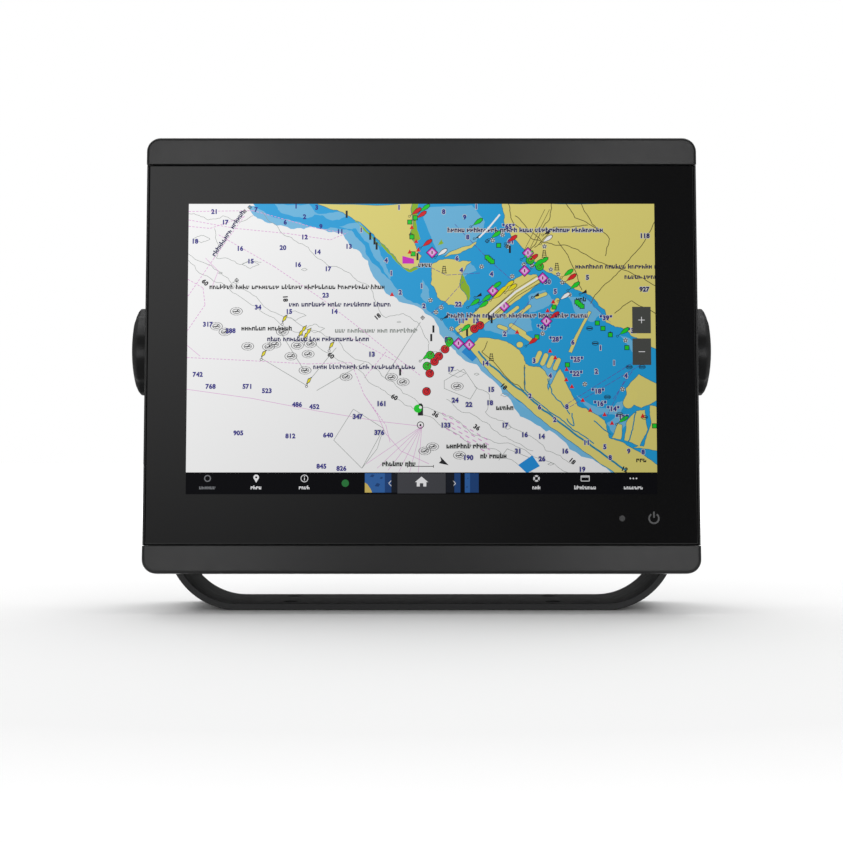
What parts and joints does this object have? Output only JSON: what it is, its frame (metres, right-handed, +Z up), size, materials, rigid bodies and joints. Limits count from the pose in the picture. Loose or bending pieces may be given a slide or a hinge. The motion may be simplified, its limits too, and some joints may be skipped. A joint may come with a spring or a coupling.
{
  "type": "chartplotter display",
  "caption": "Wide glass-front chartplotter display with lit screen, push-fit trims and finned rear housing, tilting on side knobs in a U-shaped bail.",
  "frame": {"origin": "centre of the flat underside of the bail, below the tilt axis", "axes": "+X to the viewer's right along the tilt axis, the screen faces -Y, +Z up"},
  "size_m": [0.2768, 0.0824, 0.2212],
  "materials": {
    "bail_paint": "satin black powder coat",
    "housing_paint": "fine-textured black powder coat on cast aluminium",
    "case_plastic": "matte black moulded plastic",
    "trim_plastic": "satin dark grey moulded plastic",
    "knob_plastic": "matte black moulded plastic",
    "port_plastic": "matte black moulded plastic",
    "front_glass": "black-backed optically bonded touch glass, glossy",
    "screen": "lit colour liquid-crystal screen",
    "light_guide": "translucent white light guide",
    "black_rubber": "matte black rubber",
    "steel": "brushed steel",
    "brass": "turned brass",
    "circuit_board": "green solder-masked circuit board",
    "polyimide": "amber flexible film",
    "antenna_ceramic": "unglazed ceramic patch"
  },
  "bodies": {
    "bail": {"bail_bracket": "bail_paint"},
    "display": {"backlight_unit": "light_guide", "beeper": "port_plastic", "board_screw_1": "steel", "board_screw_2": "steel", "board_screw_3": "steel", "board_screw_4": "steel", "card_reader": "steel", "case_screw_1": "steel", "case_screw_2": "steel", "case_screw_3": "steel", "case_screw_4": "steel", "case_screw_5": "steel", "case_screw_6": "steel", "case_screw_7": "steel", "case_screw_8": "steel", "connector_board": "circuit_board", "cover_glass": "front_glass", "data_bus_port": "port_plastic", "display_ribbon": "polyimide", "door_hinge_pin": "steel", "friction_disc_left": "black_rubber", "friction_disc_right": "black_rubber", "front_bezel": "case_plastic", "glass_adhesive": "black_rubber", "heat_pad": "black_rubber", "housing_seal": "black_rubber", "key_board": "circuit_board", "lcd_panel": "screen", "lcd_tray": "steel", "light_sensor": "port_plastic", "main_board": "circuit_board", "network_port_1": "port_plastic", "network_port_2": "port_plastic", "pivot_insert_left": "brass", "pivot_insert_right": "brass", "positioning_antenna": "antenna_ceramic", "power_port": "port_plastic", "pressure_vent": "port_plastic", "processor_shield": "steel", "rear_housing": "housing_paint", "sonar_shield": "steel", "transducer_port": "port_plastic", "video_port": "port_plastic"},
    "left_washer": {"clamp_washer_left": "steel"},
    "right_washer": {"clamp_washer_right": "steel"},
    "left_knob": {"knob_left": "knob_plastic", "knob_stud_left": "steel", "knob_cap_left": "knob_plastic"},
    "right_knob": {"knob_right": "knob_plastic", "knob_stud_right": "steel", "knob_cap_right": "knob_plastic"},
    "top_trim": {"top_trim": "trim_plastic"},
    "bottom_trim": {"bottom_trim": "trim_plastic"},
    "card_door": {"card_door": "case_plastic", "door_gasket": "black_rubber"},
    "memory_card_1": {"memory_card_1": "port_plastic"},
    "memory_card_2": {"memory_card_2": "port_plastic"},
    "port_cap": {"video_port_cap": "black_rubber"}
  },
  "joints": [
    {"name": "tilt", "type": "hinge", "parent": "bail", "child": "display", "pos_m": [0, 0, 0.1216], "axis": [-1, 0, 0], "range_deg": [-5.5, 40]},
    {"name": "left_clamp_travel", "type": "slide", "parent": "display", "child": "left_washer", "axis": [-1, 0, 0], "range_m": [0, 0.002]},
    {"name": "left_knob_turn", "type": "hinge", "parent": "left_washer", "child": "left_knob", "pos_m": [-0.1276, 0, 0.1216], "axis": [-1, 0, 0], "range_deg": [0, 720]},
    {"name": "right_clamp_travel", "type": "slide", "parent": "display", "child": "right_washer", "axis": [1, 0, 0], "range_m": [0, 0.002]},
    {"name": "right_knob_turn", "type": "hinge", "parent": "right_washer", "child": "right_knob", "pos_m": [0.1276, 0, 0.1216], "axis": [1, 0, 0], "range_deg": [0, 720]},
    {"name": "top_trim_pull", "type": "slide", "parent": "display", "child": "top_trim", "axis": [0, -0.9954, 0.0958], "range_m": [0, 0.015]},
    {"name": "bottom_trim_pull", "type": "slide", "parent": "display", "child": "bottom_trim", "axis": [0, -0.9954, 0.0958], "range_m": [0, 0.015]},
    {"name": "card_door_swing", "type": "hinge", "parent": "display", "child": "card_door", "pos_m": [0.084, 0.02429, 0.08591], "axis": [-1, 0, 0], "range_deg": [0, 95]},
    {"name": "card_1_eject", "type": "slide", "parent": "display", "child": "memory_card_1", "axis": [0, 0.9954, -0.0958], "range_m": [0, 0.003]},
    {"name": "card_2_eject", "type": "slide", "parent": "display", "child": "memory_card_2", "axis": [0, 0.9954, -0.0958], "range_m": [0, 0.003]},
    {"name": "port_cap_pull", "type": "slide", "parent": "display", "child": "port_cap", "axis": [0, 0.9954, -0.0958], "range_m": [0, 0.016]}
  ],
  "couplings": [
    {"joint": "left_clamp_travel", "follows": "left_knob_turn", "m_per_rad": 0.00015915},
    {"joint": "right_clamp_travel", "follows": "right_knob_turn", "m_per_rad": 0.00015915}
  ]
}
